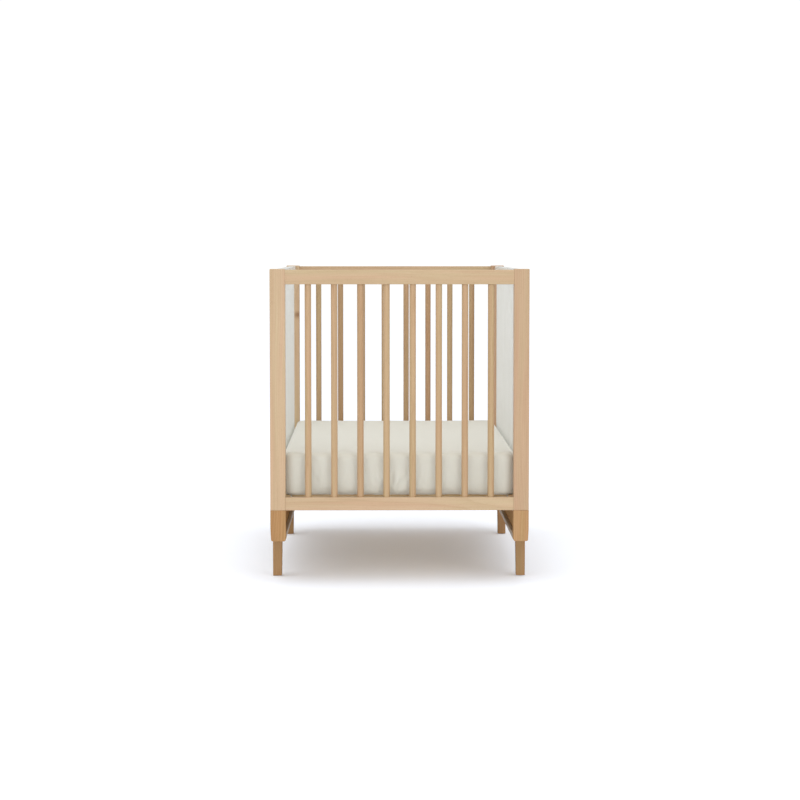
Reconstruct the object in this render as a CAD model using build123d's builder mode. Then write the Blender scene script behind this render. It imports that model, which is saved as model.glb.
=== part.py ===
"""Full-size baby crib: two spindle end panels, two spindle sides, a base beam and two legs under
each side, and a slatted platform that hangs on pins at one of three heights, with its mattress.

Millimetres. The origin is on the floor at the middle of the crib. X runs across the crib, Y along
its length and Z up.
"""

import os

from build123d import *

os.makedirs("parts", exist_ok=True)

# Whole crib
WIDTH = 762.0
LENGTH = 1384.0
HEIGHT = 927.5
BEAM_BOTTOM = 125.5  # top of the legs
BEAM_TOP = 217.0  # the end and side panels stand on the beams
SIDES = {"left": -1, "right": 1}
ENDS = {"front": -1, "rear": 1}

# Posts
POST = 45.0
POST_EDGE = 2.5
POST_SEAM = 1.2  # small chamfer where a post stands on its beam
POST_X = (WIDTH - POST) / 2
POST_Y = (LENGTH - POST) / 2
POST_HEIGHT = HEIGHT - BEAM_TOP
POST_INNER_X = POST_X - POST / 2
POST_INNER_Y = POST_Y - POST / 2

# Rails of the end panels and of the long sides
RAIL_TOP = HEIGHT - 2.5
TOP_RAIL_HEIGHT = 42.5
BOTTOM_RAIL_HEIGHT = 38.7
RAIL_EDGE = 2.0
END_RAIL_THICKNESS = 27.0
END_RAIL_Y = LENGTH / 2 - 2.0 - END_RAIL_THICKNESS / 2
SIDE_RAIL_THICKNESS = 25.0
SIDE_RAIL_INSET = 7.0  # from the posts' outer faces
SIDE_RAIL_X = WIDTH / 2 - SIDE_RAIL_INSET - SIDE_RAIL_THICKNESS / 2
TOP_RAIL_UNDERSIDE = RAIL_TOP - TOP_RAIL_HEIGHT
BOTTOM_RAIL_TOP = BEAM_TOP + BOTTOM_RAIL_HEIGHT
RAILS = {
    "top": (TOP_RAIL_UNDERSIDE, TOP_RAIL_HEIGHT),
    "bottom": (BEAM_TOP, BOTTOM_RAIL_HEIGHT),
}

# Spindles
SPINDLE_RADIUS = 9.65
TENON_RADIUS = 6.0
TENON_LENGTH = 18.0
SOCKET_CLEARANCE = 0.05
END_SPINDLES = 8
END_SPINDLE_PITCH = 76.9
SIDE_SPINDLES = 16
SIDE_SPINDLE_PITCH = 2 * POST_INNER_Y / (SIDE_SPINDLES + 0.75)

# Beams, their cleats and the legs
BEAM_RECESS = 10.5
BEAM_END_BLOCK = 45.0
BEAM_CURVE_HEIGHT = 55.0  # the outer face curves inward from here down
BEAM_EASE = 2.2  # how far it draws in at the bottom
BEAM_LOWER_EDGE = 5.0
BEAM_EDGE = 1.5
CLEAT_THICKNESS = 10.0
UPPER_CLEAT_HEIGHT = 9.0
LOWER_CLEAT_HEIGHT = 14.0
LEG_Y = 512.5  # middle of a leg, from the middle of the crib
LEG_TOP_WIDTH = 28.5
LEG_FOOT_WIDTH = 26.5
LEG_TOP_DEPTH = 45.0
LEG_FOOT_DEPTH = 31.0
LEG_OUTER_X = WIDTH / 2 - 0.5
LEG_TENON_RADIUS = 9.0
LEG_TENON_LENGTH = 30.0
GLIDE_HEIGHT = 1.5
GLIDE_RADIUS = 9.0

# Joints of the frame
DOWEL_RADIUS = 4.0
DOWEL_LENGTH = 36.0
DOWEL_IN_POST = 15.0
DOWEL_OFFSET = 10.0
HOLE_CLEARANCE = 0.05
BOLT_RADIUS = 3.0
BOLT_LENGTH = 48.0
BOLT_HEAD_RADIUS = 5.0
BOLT_HEAD_LENGTH = 6.0
HEX_SOCKET = 5.0
POCKET_RADIUS = 11.0
POCKET_DEPTH = 17.5
POCKET_OFFSET = 40.0  # from the rail's end to the middle of the pocket
INSERT_RADIUS = 4.5
INSERT_LENGTH = 14.0
POST_BOLT_RADIUS = 4.0
POST_BOLT_LENGTH = 130.0
NUT_RADIUS = 6.0
NUT_LENGTH = 26.0

# Mattress platform
PLATFORM_TOP = 258.0
PLATFORM_HEIGHT = 32.0
PLATFORM_BAR = 23.0
PLATFORM_X = 345.0
PLATFORM_Y = 643.0
END_BAR_Y = 610.0
SLATS = 12
SLAT_WIDTH = 58.0
SLAT_THICKNESS = 12.0
SLAT_BEARING = 14.0
PIN_RADIUS = 3.5
PIN_HEAD_RADIUS = 5.5
PIN_HEAD_LENGTH = 4.0
PIN_Y = 654.0
PIN_Z = 240.0
PIN_LEVEL_STEP = 100.0
PIN_LEVELS = 3
NOTCH_CLEARANCE = 0.4
PLATE = 2.5
PLATE_START_Y = 626.0
PLATE_END_Y = 661.0
PLATE_HEIGHT = 28.0
PLATE_SCREW_Y = 634.0
PLATE_SCREW_HEIGHTS = (235.0, 249.0)
SCREW_RADIUS = 2.0
SCREW_HEAD_RADIUS = 4.0
SCREW_LENGTH = 16.0

# Mattress and its sheet
MATTRESS_WIDTH = 694.0
MATTRESS_LENGTH = 1316.0
MATTRESS_BOTTOM = 258.3
MATTRESS_HEIGHT = 127.0
MATTRESS_CORNER = 40.0
MATTRESS_EDGE = 16.0
SHEET = 1.0
HEM_WIDTH = 70.0  # how far the sheet turns under the mattress


def keep(builder, name):
    """Label a finished piece and write its STEP file."""
    builder.part.label = name
    export_step(builder.part, f"parts/{name}.step")


def bar(x, y, low_z, size_x, size_y, height):
    """Add an upright bar standing at low_z in the current part."""
    with BuildSketch(Plane((x, y, low_z))) as section:
        Rectangle(size_x, size_y)
    extrude(section.sketch, amount=height)


def bore(x, y, z, direction, radius, depth):
    """Cut a round hole whose mouth is at the point and opens towards the direction."""
    with Locations(Plane((x, y, z), z_dir=direction)):
        Hole(radius, depth)


def rod(x, y, z, direction, radius, length):
    """Add a round rod that starts at the point and runs along the direction."""
    with BuildSketch(Plane((x, y, z), z_dir=direction)) as section:
        Circle(radius)
    extrude(section.sketch, amount=length)


def spread(count, pitch):
    """Places of count things a pitch apart, centred on zero."""
    return [(i - (count - 1) / 2) * pitch for i in range(count)]


def rail_middle(level):
    low_z, height = RAILS[level]
    return low_z + height / 2


def dowel_heights():
    return [rail_middle(level) + offset for level in RAILS for offset in (-DOWEL_OFFSET, DOWEL_OFFSET)]


def pin_heights():
    return [PIN_Z + PIN_LEVEL_STEP * level for level in range(PIN_LEVELS)]


END_SPINDLE_PLACES = spread(END_SPINDLES, END_SPINDLE_PITCH)
SIDE_SPINDLE_PLACES = spread(SIDE_SPINDLES, SIDE_SPINDLE_PITCH)
SPINDLE_LENGTH = TOP_RAIL_UNDERSIDE - BOTTOM_RAIL_TOP


def spindle(x, y):
    """A straight round spindle with a tenon at each end."""
    rod(x, y, BOTTOM_RAIL_TOP, (0, 0, 1), SPINDLE_RADIUS, SPINDLE_LENGTH)
    rod(x, y, BOTTOM_RAIL_TOP - TENON_LENGTH, (0, 0, 1), TENON_RADIUS, SPINDLE_LENGTH + 2 * TENON_LENGTH)


def spindle_sockets(level, places):
    """Blind sockets for the spindle tenons, in the rail's inner face."""
    depth = TENON_LENGTH + 1.0
    for x, y in places:
        if level == "top":
            bore(x, y, TOP_RAIL_UNDERSIDE, (0, 0, -1), TENON_RADIUS + SOCKET_CLEARANCE, depth)
        else:
            bore(x, y, BOTTOM_RAIL_TOP, (0, 0, 1), TENON_RADIUS + SOCKET_CLEARANCE, depth)


# Posts: bored for the rail dowels, the side bolts' inserts, the pin inserts and the beam bolt
for end, sy in ENDS.items():
    for side, sx in SIDES.items():
        with BuildPart() as post:
            bar(sx * POST_X, sy * POST_Y, BEAM_TOP, POST, POST, POST_HEIGHT)
            fillet(post.edges().filter_by(Axis.Z), POST_EDGE)
            fillet(post.faces().sort_by(Axis.Z)[-1].edges(), RAIL_EDGE)
            chamfer(post.faces().sort_by(Axis.Z)[0].edges(), POST_SEAM)
            for z in dowel_heights():
                bore(sx * POST_INNER_X, sy * END_RAIL_Y, z, (-sx, 0, 0), DOWEL_RADIUS + HOLE_CLEARANCE, DOWEL_IN_POST + 1)
            for level in RAILS:
                bore(
                    sx * SIDE_RAIL_X, sy * POST_INNER_Y, rail_middle(level), (0, -sy, 0),
                    INSERT_RADIUS, INSERT_LENGTH,
                )
            for z in pin_heights():
                bore(sx * POST_INNER_X, sy * PIN_Y, z, (-sx, 0, 0), INSERT_RADIUS, INSERT_LENGTH)
            bore(sx * POST_X, sy * POST_Y, BEAM_TOP, (0, 0, -1), POST_BOLT_RADIUS + 0.3, 62)
            bore(sx * POST_INNER_X, sy * POST_Y, BEAM_TOP + 50, (-sx, 0, 0), NUT_RADIUS + HOLE_CLEARANCE, 37)
        keep(post, f"{end}_{side}_post")

# End panels: two rails and eight spindles each
for end, sy in ENDS.items():
    for level, (low_z, height) in RAILS.items():
        with BuildPart() as end_rail:
            bar(0, sy * END_RAIL_Y, low_z, 2 * POST_INNER_X, END_RAIL_THICKNESS, height)
            fillet(end_rail.edges().filter_by(Axis.X), RAIL_EDGE)
            spindle_sockets(level, [(x, sy * END_RAIL_Y) for x in END_SPINDLE_PLACES])
            for sx in SIDES.values():
                for offset in (-DOWEL_OFFSET, DOWEL_OFFSET):
                    bore(
                        sx * POST_INNER_X, sy * END_RAIL_Y, low_z + height / 2 + offset, (sx, 0, 0),
                        DOWEL_RADIUS + HOLE_CLEARANCE, DOWEL_LENGTH - DOWEL_IN_POST + 1,
                    )
        keep(end_rail, f"{end}_end_{level}_rail")
    for number, x in enumerate(END_SPINDLE_PLACES, start=1):
        with BuildPart() as end_spindle:
            spindle(x, sy * END_RAIL_Y)
        keep(end_spindle, f"{end}_end_spindle_{number}")

# Long sides: two rails with bolt pockets in their inner faces, and sixteen spindles each
for side, sx in SIDES.items():
    for level, (low_z, height) in RAILS.items():
        middle = low_z + height / 2
        with BuildPart() as side_rail:
            bar(sx * SIDE_RAIL_X, 0, low_z, SIDE_RAIL_THICKNESS, 2 * POST_INNER_Y, height)
            fillet(side_rail.edges().filter_by(Axis.Y), RAIL_EDGE)
            spindle_sockets(level, [(sx * SIDE_RAIL_X, y) for y in SIDE_SPINDLE_PLACES])
            for sy in ENDS.values():
                pocket_y = POST_INNER_Y - POCKET_OFFSET
                inner_x = SIDE_RAIL_X - SIDE_RAIL_THICKNESS / 2
                bore(sx * inner_x, sy * pocket_y, middle, (-sx, 0, 0), POCKET_RADIUS, POCKET_DEPTH)
                bore(sx * SIDE_RAIL_X, sy * POST_INNER_Y, middle, (0, sy, 0), BOLT_RADIUS + 0.3, POCKET_OFFSET)
        keep(side_rail, f"{side}_side_{level}_rail")
    with BuildPart() as side_spindles:
        for y in SIDE_SPINDLE_PLACES:
            spindle(sx * SIDE_RAIL_X, y)
    keep(side_spindles, f"{side}_side_spindles")

# Base beams: full length, recessed along the inner face between two end blocks
for side, sx in SIDES.items():
    outer_x = sx * WIDTH / 2
    inner_x = sx * POST_INNER_X
    with BuildPart() as beam:
        with BuildSketch(Plane.XZ.offset(-LENGTH / 2)):
            with BuildLine():
                curve_top = (outer_x, BEAM_BOTTOM + BEAM_CURVE_HEIGHT)
                curve_bottom = (outer_x - sx * BEAM_EASE, BEAM_BOTTOM)
                TangentArc(curve_top, curve_bottom, tangent=(0, -1))
                Polyline(curve_bottom, (inner_x, BEAM_BOTTOM), (inner_x, BEAM_TOP), (outer_x, BEAM_TOP), curve_top)
            make_face()
        extrude(amount=LENGTH)
        fillet(beam.edges().filter_by(Axis.Y).group_by(Axis.Z)[0], BEAM_LOWER_EDGE)
        fillet(beam.faces().filter_by(Axis.Y).edges(), BEAM_EDGE)
        with BuildSketch(Plane((inner_x + sx * BEAM_RECESS / 2, 0, BEAM_BOTTOM))):
            Rectangle(BEAM_RECESS, LENGTH - 2 * BEAM_END_BLOCK)
        extrude(amount=BEAM_TOP - BEAM_BOTTOM, mode=Mode.SUBTRACT)
        for sy in ENDS.values():
            bore(sx * POST_X, sy * POST_Y, BEAM_TOP, (0, 0, 1), POST_BOLT_RADIUS + 0.3, BEAM_TOP - BEAM_BOTTOM)
            bore(sx * POST_X, sy * POST_Y, BEAM_BOTTOM, (0, 0, -1), 8.0, 11.0)
            leg_x = sx * (LEG_OUTER_X - LEG_TOP_WIDTH / 2)
            bore(leg_x, sy * LEG_Y, BEAM_BOTTOM, (0, 0, -1), LEG_TENON_RADIUS + HOLE_CLEARANCE, LEG_TENON_LENGTH + 1)
    keep(beam, f"{side}_base_beam")
    cleat_x = inner_x + sx * (BEAM_RECESS - CLEAT_THICKNESS / 2)
    cleat_length = LENGTH - 2 * BEAM_END_BLOCK
    with BuildPart() as upper_cleat:
        bar(cleat_x, 0, BEAM_TOP - UPPER_CLEAT_HEIGHT, CLEAT_THICKNESS, cleat_length, UPPER_CLEAT_HEIGHT)
        chamfer(upper_cleat.edges().filter_by(Axis.Y), 0.8)
    keep(upper_cleat, f"{side}_upper_cleat")
    with BuildPart() as lower_cleat:
        bar(cleat_x, 0, BEAM_BOTTOM + 0.5, CLEAT_THICKNESS, cleat_length, LOWER_CLEAT_HEIGHT)
        chamfer(lower_cleat.edges().filter_by(Axis.Y), 0.8)
    keep(lower_cleat, f"{side}_lower_cleat")

# Legs: tapered, with a round tenon up into the beam
for end, sy in ENDS.items():
    for side, sx in SIDES.items():
        top_x = sx * (LEG_OUTER_X - LEG_TOP_WIDTH / 2)
        foot_x = sx * (LEG_OUTER_X - LEG_FOOT_WIDTH / 2)
        with BuildPart() as leg:
            with BuildSketch(Plane((foot_x, sy * LEG_Y, GLIDE_HEIGHT))):
                RectangleRounded(LEG_FOOT_WIDTH, LEG_FOOT_DEPTH, 2.0)
            with BuildSketch(Plane((top_x, sy * LEG_Y, BEAM_BOTTOM))):
                RectangleRounded(LEG_TOP_WIDTH, LEG_TOP_DEPTH, 2.0)
            loft()
            rod(top_x, sy * LEG_Y, BEAM_BOTTOM, (0, 0, 1), LEG_TENON_RADIUS, LEG_TENON_LENGTH)
            bore(foot_x, sy * LEG_Y, GLIDE_HEIGHT, (0, 0, -1), SCREW_RADIUS, SCREW_LENGTH + 1)
        keep(leg, f"{end}_{side}_leg")

# Glides: a round foot with a driven pin, one under each leg
with BuildPart() as glides:
    for sx in SIDES.values():
        for sy in ENDS.values():
            glide_x = sx * (LEG_OUTER_X - LEG_FOOT_WIDTH / 2)
            rod(glide_x, sy * LEG_Y, 0, (0, 0, 1), GLIDE_RADIUS, GLIDE_HEIGHT)
            rod(glide_x, sy * LEG_Y, GLIDE_HEIGHT, (0, 0, 1), SCREW_RADIUS, SCREW_LENGTH)
keep(glides, "foot_glides")

# Fasteners of the frame
with BuildPart() as dowels:
    for sy in ENDS.values():
        for sx in SIDES.values():
            for z in dowel_heights():
                start_x = sx * (POST_INNER_X + DOWEL_IN_POST - DOWEL_LENGTH)
                rod(start_x, sy * END_RAIL_Y, z, (sx, 0, 0), DOWEL_RADIUS, DOWEL_LENGTH)
keep(dowels, "end_rail_dowels")

with BuildPart() as side_bolts:
    for sy in ENDS.values():
        for sx in SIDES.values():
            for level in RAILS:
                head_y = POST_INNER_Y - POCKET_OFFSET + POCKET_RADIUS - BOLT_HEAD_LENGTH - 2.5
                x, z = sx * SIDE_RAIL_X, rail_middle(level)
                rod(x, sy * head_y, z, (0, sy, 0), BOLT_HEAD_RADIUS, BOLT_HEAD_LENGTH)
                rod(x, sy * (head_y + BOLT_HEAD_LENGTH), z, (0, sy, 0), BOLT_RADIUS, BOLT_LENGTH - 8.0)
                with BuildSketch(Plane((x, sy * head_y, z), z_dir=(0, -sy, 0))):
                    RegularPolygon(HEX_SOCKET / 2, 6, major_radius=False)
                extrude(amount=-3.5, mode=Mode.SUBTRACT)
keep(side_bolts, "side_bolts")

with BuildPart() as side_inserts:
    for sy in ENDS.values():
        for sx in SIDES.values():
            for level in RAILS:
                x, z = sx * SIDE_RAIL_X, rail_middle(level)
                rod(x, sy * POST_INNER_Y, z, (0, sy, 0), INSERT_RADIUS - 0.02, INSERT_LENGTH - 0.5)
                bore(x, sy * POST_INNER_Y, z, (0, -sy, 0), BOLT_RADIUS + 0.03, INSERT_LENGTH - 0.5)
keep(side_inserts, "side_bolt_inserts")

with BuildPart() as pin_inserts:
    for sy in ENDS.values():
        for sx in SIDES.values():
            for z in pin_heights():
                rod(sx * POST_INNER_X, sy * PIN_Y, z, (sx, 0, 0), INSERT_RADIUS - 0.02, INSERT_LENGTH - 0.5)
                bore(sx * POST_INNER_X, sy * PIN_Y, z, (-sx, 0, 0), PIN_RADIUS + 0.03, INSERT_LENGTH - 0.5)
keep(pin_inserts, "support_pin_inserts")

# Support pins: in the lowest inserts, with a head on the far side of the platform's hanger plate
PLATE_X = PLATFORM_X - PLATFORM_BAR - PLATE / 2
with BuildPart() as pins:
    for sy in ENDS.values():
        for sx in SIDES.values():
            shank_end = POST_INNER_X + INSERT_LENGTH - 2.0
            head_x = PLATE_X - PLATE / 2 - 0.8 - PIN_HEAD_LENGTH
            rod(sx * head_x, sy * PIN_Y, PIN_Z, (sx, 0, 0), PIN_HEAD_RADIUS, PIN_HEAD_LENGTH)
            rod(sx * head_x, sy * PIN_Y, PIN_Z, (sx, 0, 0), PIN_RADIUS, shank_end - head_x)
            with BuildSketch(Plane((sx * head_x, sy * PIN_Y, PIN_Z), z_dir=(-sx, 0, 0))):
                RegularPolygon(HEX_SOCKET / 2, 6, major_radius=False)
            extrude(amount=-2.0, mode=Mode.SUBTRACT)
keep(pins, "support_pins")

with BuildPart() as post_bolts:
    for sy in ENDS.values():
        for sx in SIDES.values():
            x, y = sx * POST_X, sy * POST_Y
            head_bottom = BEAM_BOTTOM + 4.0
            rod(x, y, head_bottom, (0, 0, 1), 6.5, 7.0)
            rod(x, y, head_bottom + 7.0, (0, 0, 1), POST_BOLT_RADIUS, POST_BOLT_LENGTH)
            with BuildSketch(Plane((x, y, head_bottom), z_dir=(0, 0, -1))):
                RegularPolygon(HEX_SOCKET / 2, 6, major_radius=False)
            extrude(amount=-4.0, mode=Mode.SUBTRACT)
keep(post_bolts, "post_bolts")

with BuildPart() as post_nuts:
    for sy in ENDS.values():
        for sx in SIDES.values():
            x, y, z = sx * (POST_INNER_X + 35.5), sy * POST_Y, BEAM_TOP + 50
            rod(x, y, z, (-sx, 0, 0), NUT_RADIUS, NUT_LENGTH)
            bore(sx * POST_X, y, z - NUT_RADIUS, (0, 0, -1), POST_BOLT_RADIUS + 0.05, 2 * NUT_RADIUS)
keep(post_nuts, "post_barrel_nuts")

# Platform: two side bars and two end bars, slats let into the side bars, a hanger plate at each corner
platform_low = PLATFORM_TOP - PLATFORM_HEIGHT
bar_x = PLATFORM_X - PLATFORM_BAR / 2
for side, sx in SIDES.items():
    with BuildPart() as side_bar:
        bar(sx * bar_x, 0, platform_low, PLATFORM_BAR, 2 * PLATFORM_Y, PLATFORM_HEIGHT)
        rebate_x = sx * (PLATFORM_X - PLATFORM_BAR + SLAT_BEARING / 2)
        rebate_length = 2 * END_BAR_Y - PLATFORM_BAR
        with BuildSketch(Plane((rebate_x, 0, PLATFORM_TOP))):
            Rectangle(SLAT_BEARING, rebate_length)
        extrude(amount=-SLAT_THICKNESS, mode=Mode.SUBTRACT)
    keep(side_bar, f"platform_{side}_bar")
for end, sy in ENDS.items():
    with BuildPart() as end_bar:
        end_bar_length = 2 * (PLATFORM_X - PLATFORM_BAR)
        bar(0, sy * END_BAR_Y, platform_low, end_bar_length, PLATFORM_BAR, PLATFORM_HEIGHT)
    keep(end_bar, f"platform_{end}_bar")

slat_length = 2 * (PLATFORM_X - PLATFORM_BAR + SLAT_BEARING)
slat_pitch = (rebate_length - SLAT_WIDTH - 20) / (SLATS - 1)
slat_screw_x = PLATFORM_X - PLATFORM_BAR + SLAT_BEARING / 2
with BuildPart() as slats:
    for y in spread(SLATS, slat_pitch):
        bar(0, y, PLATFORM_TOP - SLAT_THICKNESS, slat_length, SLAT_WIDTH, SLAT_THICKNESS)
    fillet(slats.edges().filter_by(Axis.X), 2.0)
    for y in spread(SLATS, slat_pitch):
        for sx in SIDES.values():
            with Locations(Plane((sx * slat_screw_x, y, PLATFORM_TOP))):
                CounterSinkHole(SCREW_RADIUS + 0.2, SCREW_HEAD_RADIUS, SLAT_THICKNESS, 90)
keep(slats, "platform_slats")

with BuildPart() as slat_screws:
    for y in spread(SLATS, slat_pitch):
        for sx in SIDES.values():
            with BuildSketch(Plane((sx * slat_screw_x, y, PLATFORM_TOP - 0.6))):
                Circle(SCREW_HEAD_RADIUS - 0.8)
            with BuildSketch(Plane((sx * slat_screw_x, y, PLATFORM_TOP - 2.6))):
                Circle(SCREW_RADIUS - 0.8)
            loft()
            rod(sx * slat_screw_x, y, PLATFORM_TOP - SLAT_THICKNESS, (0, 0, 1), SCREW_RADIUS - 0.8, 9.6)
keep(slat_screws, "slat_screws")

# Hanger plates: screwed to the side bars' inner faces, with a notch that drops over the pin
with BuildPart() as plates:
    for sx in SIDES.values():
        for sy in ENDS.values():
            plate_length = PLATE_END_Y - PLATE_START_Y
            plate_y = sy * (PLATE_START_Y + plate_length / 2)
            bar(sx * PLATE_X, plate_y, PLATFORM_TOP - 2 - PLATE_HEIGHT, PLATE, plate_length, PLATE_HEIGHT)
            with BuildSketch(Plane((sx * PLATE_X, sy * PIN_Y, PIN_Z), x_dir=(0, 1, 0), z_dir=(1, 0, 0))):
                Circle(PIN_RADIUS + NOTCH_CLEARANCE)
                with Locations((0, -PLATE_HEIGHT / 2)):
                    Rectangle(2 * (PIN_RADIUS + NOTCH_CLEARANCE), PLATE_HEIGHT)
            extrude(amount=PLATE, both=True, mode=Mode.SUBTRACT)
            for z in PLATE_SCREW_HEIGHTS:
                bore(sx * (PLATE_X - PLATE / 2), sy * PLATE_SCREW_Y, z, (-sx, 0, 0), SCREW_RADIUS + 0.2, PLATE)
keep(plates, "platform_hanger_plates")

with BuildPart() as plate_screws:
    for sx in SIDES.values():
        for sy in ENDS.values():
            for z in PLATE_SCREW_HEIGHTS:
                rod(sx * (PLATE_X - PLATE / 2), sy * PLATE_SCREW_Y, z, (-sx, 0, 0), SCREW_HEAD_RADIUS - 0.5, 1.6)
                rod(sx * (PLATE_X - PLATE / 2), sy * PLATE_SCREW_Y, z, (sx, 0, 0), SCREW_RADIUS, PLATE)
keep(plate_screws, "hanger_plate_screws")

# Mattress, and the fitted sheet that wraps its top and sides and turns under it
with BuildPart() as mattress:
    with BuildSketch(Plane.XY.offset(MATTRESS_BOTTOM + SHEET)):
        RectangleRounded(MATTRESS_WIDTH - 2 * SHEET, MATTRESS_LENGTH - 2 * SHEET, MATTRESS_CORNER - SHEET)
    extrude(amount=MATTRESS_HEIGHT - 2 * SHEET)
    fillet(mattress.faces().sort_by(Axis.Z)[-1].edges(), MATTRESS_EDGE - SHEET)
    fillet(mattress.faces().sort_by(Axis.Z)[0].edges(), MATTRESS_EDGE / 2 - SHEET)
keep(mattress, "mattress")

with BuildPart() as sheet:
    with BuildSketch(Plane.XY.offset(MATTRESS_BOTTOM)):
        RectangleRounded(MATTRESS_WIDTH, MATTRESS_LENGTH, MATTRESS_CORNER)
    extrude(amount=MATTRESS_HEIGHT)
    fillet(sheet.faces().sort_by(Axis.Z)[-1].edges(), MATTRESS_EDGE)
    fillet(sheet.faces().sort_by(Axis.Z)[0].edges(), MATTRESS_EDGE / 2)
    add(mattress.part, mode=Mode.SUBTRACT)
    with BuildSketch(Plane.XY.offset(MATTRESS_BOTTOM)):
        Rectangle(MATTRESS_WIDTH - 2 * HEM_WIDTH, MATTRESS_LENGTH - 2 * HEM_WIDTH)
    extrude(amount=SHEET, mode=Mode.SUBTRACT)
keep(sheet, "fitted_sheet")
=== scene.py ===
"""Looks of a full-size baby crib: beech and white lacquer joinery, steel fittings, a mattress and its sheet.

Everything is in metres in the crib's own frame: X across, Y along, Z up, with the origin on the floor.
"""

import math

import bmesh
import bpy
import numpy as np
from bpy.props import FloatProperty, FloatVectorProperty, PointerProperty
from mathutils import Color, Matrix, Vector


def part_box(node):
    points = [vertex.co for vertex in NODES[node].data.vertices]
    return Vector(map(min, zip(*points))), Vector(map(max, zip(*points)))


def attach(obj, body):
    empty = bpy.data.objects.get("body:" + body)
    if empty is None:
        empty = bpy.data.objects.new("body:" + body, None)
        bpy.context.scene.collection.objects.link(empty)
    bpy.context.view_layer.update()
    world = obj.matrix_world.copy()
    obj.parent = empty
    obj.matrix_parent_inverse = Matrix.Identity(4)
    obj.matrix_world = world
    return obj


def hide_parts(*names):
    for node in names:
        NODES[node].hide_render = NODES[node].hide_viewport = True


bl_info = {
    "name": "Baby Crib",
    "version": (1, 0, 0),
    "blender": (4, 5, 0),
    "location": "View3D > Sidebar > Crib",
    "description": "Finishes the crib's joinery and fittings and makes its mattress and sheet",
    "category": "Object",
}

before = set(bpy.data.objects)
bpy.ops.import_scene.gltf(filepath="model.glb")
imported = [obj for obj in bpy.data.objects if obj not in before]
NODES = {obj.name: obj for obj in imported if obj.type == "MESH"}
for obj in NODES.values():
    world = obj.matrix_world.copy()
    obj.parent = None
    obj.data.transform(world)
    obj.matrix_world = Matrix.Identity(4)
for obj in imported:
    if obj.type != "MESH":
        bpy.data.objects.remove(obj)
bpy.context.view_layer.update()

ENDS = ("front", "rear")
SIDES = ("left", "right")
LEVELS = ("top", "bottom")


# Sizes and colours that a user may change

class WoodSettings(bpy.types.PropertyGroup):
    beech_light: FloatVectorProperty(
        name="Beech light", description="Pale early wood of the beech",
        subtype="COLOR", default=(0.535, 0.395, 0.257), min=0, max=1)
    beech_dark: FloatVectorProperty(
        name="Beech dark", description="Darker late wood of the beech",
        subtype="COLOR", default=(0.405, 0.265, 0.148), min=0, max=1)
    spindle_light: FloatVectorProperty(
        name="Spindle light", description="Pale early wood of the turned spindles",
        subtype="COLOR", default=(0.465, 0.325, 0.187), min=0, max=1)
    spindle_dark: FloatVectorProperty(
        name="Spindle dark", description="Darker late wood of the turned spindles",
        subtype="COLOR", default=(0.335, 0.192, 0.088), min=0, max=1)
    base_light: FloatVectorProperty(
        name="Base light", description="Pale early wood of the beams and legs",
        subtype="COLOR", default=(0.445, 0.272, 0.135), min=0, max=1)
    base_dark: FloatVectorProperty(
        name="Base dark", description="Darker late wood of the beams and legs",
        subtype="COLOR", default=(0.290, 0.150, 0.064), min=0, max=1)
    pine_light: FloatVectorProperty(
        name="Pine light", description="Pale early wood of the platform's pine",
        subtype="COLOR", default=(0.76, 0.60, 0.38), min=0, max=1)
    pine_dark: FloatVectorProperty(
        name="Pine dark", description="Darker late wood of the platform's pine",
        subtype="COLOR", default=(0.62, 0.42, 0.22), min=0, max=1)
    lacquer: FloatVectorProperty(
        name="Lacquer", description="White lacquer of the long sides",
        subtype="COLOR", default=(0.72, 0.72, 0.685), min=0, max=1)
    golden_tint: FloatVectorProperty(
        name="Golden tint", description="What the more golden beam's beech is multiplied by",
        subtype="COLOR", default=(1.10, 1.20, 1.30), min=0, max=2)
    # Painted shade: darkens the legs' beech for the shade they stand in under the crib and the leg blocks
    leg_painted_shade: FloatVectorProperty(
        name="Leg shade", description="What the legs' beech is multiplied by",
        subtype="COLOR", default=(0.86, 0.88, 0.90), min=0, max=1)
    rosy_tint: FloatVectorProperty(
        name="Rosy tint", description="What the rosier posts' beech is multiplied by",
        subtype="COLOR", default=(0.93, 0.87, 0.87), min=0, max=1)
    # Painted shade: the cleats are white, and this greige stands in for the shade they sit in under the crib
    cleat_painted_shade: FloatVectorProperty(
        name="Cleat primer", description="Greyish primer of the beams' cleats",
        subtype="COLOR", default=(0.47, 0.405, 0.345), min=0, max=1)
    ring_spacing: FloatProperty(
        name="Ring spacing", description="Distance between growth rings",
        unit="LENGTH", default=0.0034, min=0.001, max=0.02)


class BeddingSettings(bpy.types.PropertyGroup):
    sheet_colour: FloatVectorProperty(
        name="Sheet", description="Cream cotton of the fitted sheet",
        subtype="COLOR", default=(0.655, 0.642, 0.565), min=0, max=1)
    ticking_colour: FloatVectorProperty(
        name="Ticking", description="Cover of the mattress",
        subtype="COLOR", default=(0.78, 0.77, 0.73), min=0, max=1)
    thread_pitch: FloatProperty(
        name="Thread pitch", description="Distance between threads of the sheet's weave",
        unit="LENGTH", default=0.00055, min=0.0002, max=0.003)
    mattress_step: FloatProperty(
        name="Mattress mesh", description="Mesh size that the mattress is simulated at",
        unit="LENGTH", default=0.012, min=0.004, max=0.03)
    sheet_step: FloatProperty(
        name="Sheet mesh", description="Mesh size that the sheet is simulated at",
        unit="LENGTH", default=0.009, min=0.004, max=0.03)


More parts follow.
